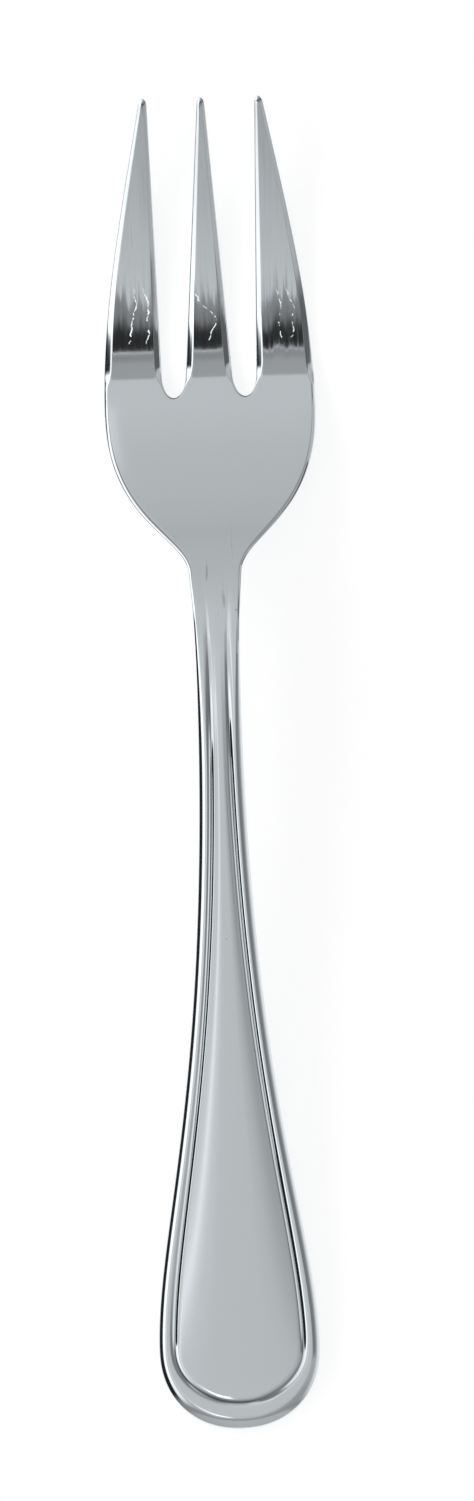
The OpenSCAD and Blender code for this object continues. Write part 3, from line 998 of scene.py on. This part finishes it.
def light_tent(world, strength):
    world.use_nodes = True
    desk = NodeDesk(world.node_tree)
    x, y, z = desk.add("ShaderNodeSeparateXYZ", desk.add("ShaderNodeTexCoord").outputs["Generated"]).outputs
    sideways, lengthways = desk.math("ARCTAN2", x, z), desk.math("ARCSINE", y)
    level = tent_level(desk, sideways, ACROSS)
    for stops, near, far in TENT_PARTS:
        share = desk.between(lengthways, math.radians(near), math.radians(far))
        change = desk.math("SUBTRACT", tent_level(desk, sideways, stops), level)
        level = desk.math("MULTIPLY_ADD", change, share, level)
    level = desk.math("MULTIPLY", level, tent_level(desk, lengthways, ALONG))
    level = desk.math("MULTIPLY", level, PEAK * PEAK * strength)
    tent = desk.add("ShaderNodeBackground", WHITE, level)
    white = desk.add("ShaderNodeBackground", WHITE, 1.0)
    seen = desk.add("ShaderNodeLightPath").outputs["Is Camera Ray"]
    shown = desk.add("ShaderNodeMixShader", seen, tent.outputs[0], white.outputs[0])
    desk.add("ShaderNodeOutputWorld", shown.outputs[0])


def floor_material(colour):
    material = bpy.data.materials.new("white_table")
    material.use_nodes = True
    desk = NodeDesk(material.node_tree)
    diffuse = desk.add("ShaderNodeBsdfDiffuse", (*colour, 1.0))
    path = desk.add("ShaderNodeLightPath").outputs
    mirrored_ray = desk.math("MAXIMUM", path["Is Glossy Ray"], path["Is Transmission Ray"])
    seen = desk.math("MAXIMUM", path["Is Camera Ray"], mirrored_ray)
    glow = desk.add("ShaderNodeEmission", WHITE, desk.math("MULTIPLY", seen, TABLE_GLOW))
    both = desk.add("ShaderNodeAddShader", diffuse.outputs[0], glow.outputs[0])
    desk.add("ShaderNodeOutputMaterial", both.outputs[0])
    return material


def card_material(name, low, high, levels):
    """One face of a card, seen only from its front, shaded from its low edge upwards."""
    material = bpy.data.materials.new(name)
    material.use_nodes = True
    desk = NodeDesk(material.node_tree)
    height = desk.add("ShaderNodeSeparateXYZ", desk.add("ShaderNodeTexCoord").outputs["Object"]).outputs[2]
    front = desk.add("ShaderNodeEmission", WHITE, desk.between(height, low, high, *levels))
    clear = desk.add("ShaderNodeBsdfTransparent")
    back = desk.add("ShaderNodeNewGeometry").outputs["Backfacing"]
    shown = desk.add("ShaderNodeMixShader", back, front.outputs[0], clear.outputs[0])
    desk.add("ShaderNodeOutputMaterial", shown.outputs[0])
    return material


def studio_card(name, low, high, sides, shaded, levels):
    """A card above the fork that only its shine shows, from one place along the fork to another."""
    bpy.ops.object.select_all(action="DESELECT")
    bpy.ops.mesh.primitive_plane_add(size=1)
    card = bpy.context.object
    card.name = card.data.name = name
    for vert in card.data.vertices:
        y, z = high if vert.co.y > 0 else low
        vert.co = (sides[1] if vert.co.x > 0 else sides[0], y, z)
    card.data.flip_normals()
    card.data.materials.append(card_material(name, *shaded, levels))
    for ray in HIDDEN_FROM:
        setattr(card, "visible_" + ray, False)


class FORK_OT_studio(bpy.types.Operator):
    """Set up the table, the light tent and the camera"""

    bl_idname = "fork.studio"
    bl_label = "Set up the studio"

    def execute(self, context):
        look = context.scene.fork_studio
        bpy.ops.object.select_all(action="DESELECT")
        bpy.ops.mesh.primitive_plane_add(size=TABLE_SIZE)
        table = context.object
        table.name = table.data.name = "table"
        table.data.materials.append(floor_material(look.floor_colour))
        for name, card in CARDS.items():
            studio_card(name, *card)
        context.scene.world = bpy.data.worlds.new("light_tent")
        light_tent(context.scene.world, look.light)

        bpy.ops.object.camera_add(location=(*CAMERA_SPOT, look.camera_height), rotation=(0, 0, CAMERA_TURN))
        camera = context.object
        camera.name = "photo_camera"
        camera.data.sensor_width = SENSOR_WIDTH
        camera.data.lens = SENSOR_WIDTH / 2 * (look.camera_height - FORK_LEVEL) / HALF_VIEW
        context.scene.camera = camera
        context.scene.view_settings.view_transform = "Standard"
        return {"FINISHED"}


class FORK_PT_panel(bpy.types.Panel):
    bl_idname = "FORK_PT_panel"
    bl_label = "Serving fork"
    bl_space_type = "VIEW_3D"
    bl_region_type = "UI"
    bl_category = "Fork"

    def draw(self, context):
        for group in (context.scene.fork_sizes, context.scene.fork_finish, context.scene.fork_studio):
            box = self.layout.box()
            for name in group.__annotations__:
                box.prop(group, name)
        self.layout.operator(FORK_OT_model.bl_idname)
        self.layout.operator(FORK_OT_studio.bl_idname)


CLASSES = (ForkSizes, SteelFinish, StudioLook, FORK_OT_model, FORK_OT_studio, FORK_PT_panel)


def register():
    for cls in CLASSES:
        bpy.utils.register_class(cls)
    bpy.types.Scene.fork_sizes = PointerProperty(type=ForkSizes)
    bpy.types.Scene.fork_finish = PointerProperty(type=SteelFinish)
    bpy.types.Scene.fork_studio = PointerProperty(type=StudioLook)


def unregister():
    del bpy.types.Scene.fork_studio
    del bpy.types.Scene.fork_finish
    del bpy.types.Scene.fork_sizes
    for cls in reversed(CLASSES):
        bpy.utils.unregister_class(cls)


def main():
    register()
    bpy.ops.fork.studio()
    bpy.ops.fork.model()


if __name__ == "__main__":
    main()
